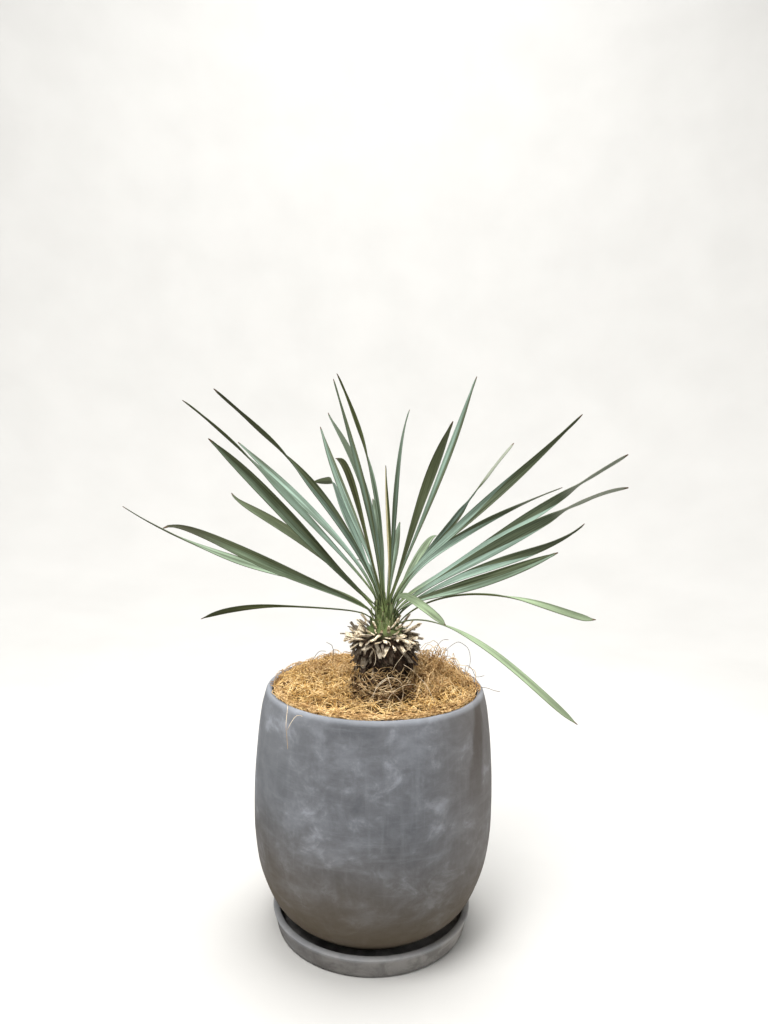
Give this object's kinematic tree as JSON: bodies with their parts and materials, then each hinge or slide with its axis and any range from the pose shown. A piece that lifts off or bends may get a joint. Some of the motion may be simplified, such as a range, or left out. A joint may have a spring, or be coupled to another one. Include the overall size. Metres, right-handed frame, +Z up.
{
  "type": "potted beaked yucca",
  "caption": "Potted beaked yucca: a rosette of narrow blue-green sword leaves on a short trunk, in a barrel-shaped grey pot with coconut-fibre mulch, standing in a saucer.",
  "frame": {"origin": "the centre of the saucer's underside, at the pot's axis, on the surface that the object stands on", "axes": "+Z up, -Y towards the front that the picture shows, +X to the right seen from the front"},
  "size_m": [0.4527, 0.3255, 0.5102],
  "materials": {
    "saucer_stone": "matte cement grey",
    "pot_stone": "matte blue-grey cement with soft pale clouds",
    "potting_soil": "dark and crumbly",
    "coir_fibre": "loose golden-brown fibres",
    "trunk_bark": "dark dead leaf bases with bleached cut ends",
    "leaf_blade": "waxy blue-green, finely striped, with a pale edge"
  },
  "bodies": {
    "root": {"saucer": "saucer_stone", "pot": "pot_stone", "soil": "potting_soil", "coir_mulch": "coir_fibre", "trunk": "trunk_bark", "leaf_01": "leaf_blade", "leaf_02": "leaf_blade", "leaf_03": "leaf_blade", "leaf_04": "leaf_blade", "leaf_05": "leaf_blade", "leaf_06": "leaf_blade", "leaf_07": "leaf_blade", "leaf_08": "leaf_blade", "leaf_09": "leaf_blade", "leaf_10": "leaf_blade", "leaf_11": "leaf_blade", "leaf_12": "leaf_blade", "leaf_13": "leaf_blade", "leaf_14": "leaf_blade", "leaf_15": "leaf_blade", "leaf_16": "leaf_blade", "leaf_17": "leaf_blade", "leaf_18": "leaf_blade", "leaf_19": "leaf_blade", "leaf_20": "leaf_blade", "leaf_21": "leaf_blade", "leaf_22": "leaf_blade", "leaf_23": "leaf_blade", "leaf_24": "leaf_blade", "leaf_25": "leaf_blade", "leaf_26": "leaf_blade", "leaf_27": "leaf_blade", "leaf_28": "leaf_blade", "leaf_29": "leaf_blade", "leaf_30": "leaf_blade", "leaf_31": "leaf_blade", "leaf_32": "leaf_blade"}
  },
  "joints": []
}
